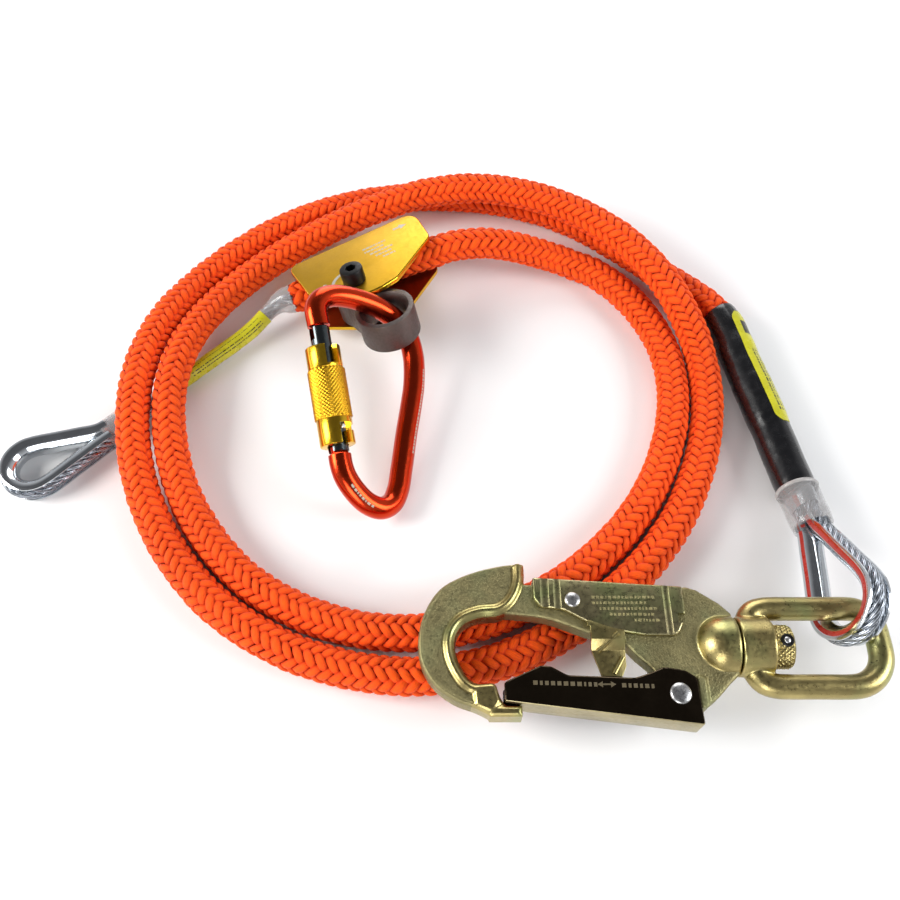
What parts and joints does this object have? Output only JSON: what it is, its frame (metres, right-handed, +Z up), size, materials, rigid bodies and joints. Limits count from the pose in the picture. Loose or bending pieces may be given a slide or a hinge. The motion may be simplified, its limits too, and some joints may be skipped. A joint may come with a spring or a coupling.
{
  "type": "rope grab lanyard",
  "caption": "Wire-core rope lanyard with a mechanical rope grab and twist-lock carabiner, a wire eye at each end and a large swivel snap hook.",
  "frame": {"origin": "middle of the hardware's box on the surface that the kit lies on, measured without the rope", "axes": "+X from the tail eye to the swivel bail, +Y from the hook to the grab, +Z up"},
  "size_m": [0.4002, 0.319, 0.0581],
  "materials": {
    "braided_rope": "braided polyester",
    "black_tube": "glossy heat-shrink",
    "clear_tube": "clear heat-shrink",
    "label": "printed label, print left out",
    "bright_zinc": "bright zinc plate",
    "yellow_zinc": "yellow zinc plate",
    "dark_zinc": "dark polished plate",
    "gold_anodised": "gold anodised",
    "red_anodised": "red anodised, glossy",
    "grey_anodised": "dark grey anodised",
    "cam_grey": "sintered stainless",
    "black_steel": "black oxide",
    "bronze": "plain",
    "spring_steel": "bright"
  },
  "bodies": {
    "lanyard": {"rope": "braided_rope", "heat_shrink": "black_tube", "label_hook": "label", "ferrule_hook": "bright_zinc", "clear_sleeve_hook": "clear_tube", "cable_eye_hook": "bright_zinc", "thimble_hook": "bright_zinc", "tail_tube": "clear_tube", "label_tail": "label", "ferrule_tail": "bright_zinc", "clear_sleeve_tail": "clear_tube", "cable_eye_tail": "bright_zinc", "thimble_tail": "bright_zinc"},
    "grab": {"grab_shell": "gold_anodised", "axle_bolt": "black_steel", "axle_nut": "black_steel", "washer_upper": "spring_steel", "washer_lower": "spring_steel", "cam_spring": "spring_steel"},
    "cam_lever": {"cam": "cam_grey", "cam_bushing": "bronze"},
    "carabiner": {"carabiner_body": "red_anodised", "gate_pin": "spring_steel"},
    "biner_gate": {"carabiner_gate": "grey_anodised", "gate_plunger": "spring_steel", "gate_plunger_spring": "spring_steel", "sleeve_pin": "spring_steel", "sleeve_spring": "spring_steel"},
    "biner_sleeve": {"lock_sleeve": "gold_anodised"},
    "bail": {"swivel_bail": "yellow_zinc"},
    "hook": {"hook_body": "yellow_zinc", "gate_rivet": "bright_zinc", "lever_rivet": "bright_zinc", "swivel_stud": "yellow_zinc", "swivel_nut": "yellow_zinc", "nut_pin": "spring_steel", "gate_spring": "spring_steel", "lever_spring": "spring_steel"},
    "gate": {"hook_gate": "dark_zinc"},
    "lever": {"lock_lever": "yellow_zinc"}
  },
  "joints": [
    {"name": "grab_slide", "type": "slide", "parent": "lanyard", "child": "grab", "axis": [0.9475, 0.2872, 0.1407], "range_m": [0, 0.01]},
    {"name": "cam_pivot", "type": "hinge", "parent": "grab", "child": "cam_lever", "pos_m": [-0.0312, 0.0855, 0.0353], "axis": [-0.1998, 0.188, 0.9616], "range_deg": [0, 10], "stiffness_Nm_per_rad": 0.05, "springref_deg": -34.38},
    {"name": "carabiner_swing", "type": "hinge", "parent": "cam_lever", "child": "carabiner", "pos_m": [-0.01356, 0.06334, 0.03061], "axis": [-0.1998, 0.188, 0.9616], "range_deg": [0, 40]},
    {"name": "carabiner_gate_hinge", "type": "hinge", "parent": "carabiner", "child": "biner_gate", "pos_m": [-0.03393, -0.01061, 0.02901], "axis": [-0.5859, 0.1799, -0.7901], "range_deg": [0, 14], "stiffness_Nm_per_rad": 0.03, "springref_deg": -45.84},
    {"name": "lock_sleeve_turn", "type": "hinge", "parent": "biner_gate", "child": "biner_sleeve", "pos_m": [-0.03332, -0.01375, 0.02784], "axis": [-0.1798, 0.9219, 0.3432], "range_deg": [-68, 0], "stiffness_Nm_per_rad": 0.002, "springref_deg": 28.65},
    {"name": "bail_lift", "type": "hinge", "parent": "lanyard", "child": "bail", "pos_m": [0.195, -0.1035, 0.0242], "axis": [0, 1, 0], "range_deg": [0, 15]},
    {"name": "hook_swivel", "type": "hinge", "parent": "bail", "child": "hook", "pos_m": [0.0176, -0.1035, 0.0242], "axis": [1, 0, 0], "range_deg": [0, 8]},
    {"name": "hook_gate_hinge", "type": "hinge", "parent": "hook", "child": "gate", "pos_m": [0.1086, -0.1245, 0.0242], "axis": [0, 0, -1], "range_deg": [0, 17], "stiffness_Nm_per_rad": 0.05, "springref_deg": -34.38},
    {"name": "lock_lever_hinge", "type": "hinge", "parent": "hook", "child": "lever", "pos_m": [0.0686, -0.0855, 0.0242], "axis": [0, 0, -1], "range_deg": [0, 5.5], "stiffness_Nm_per_rad": 0.05, "springref_deg": -34.38}
  ]
}
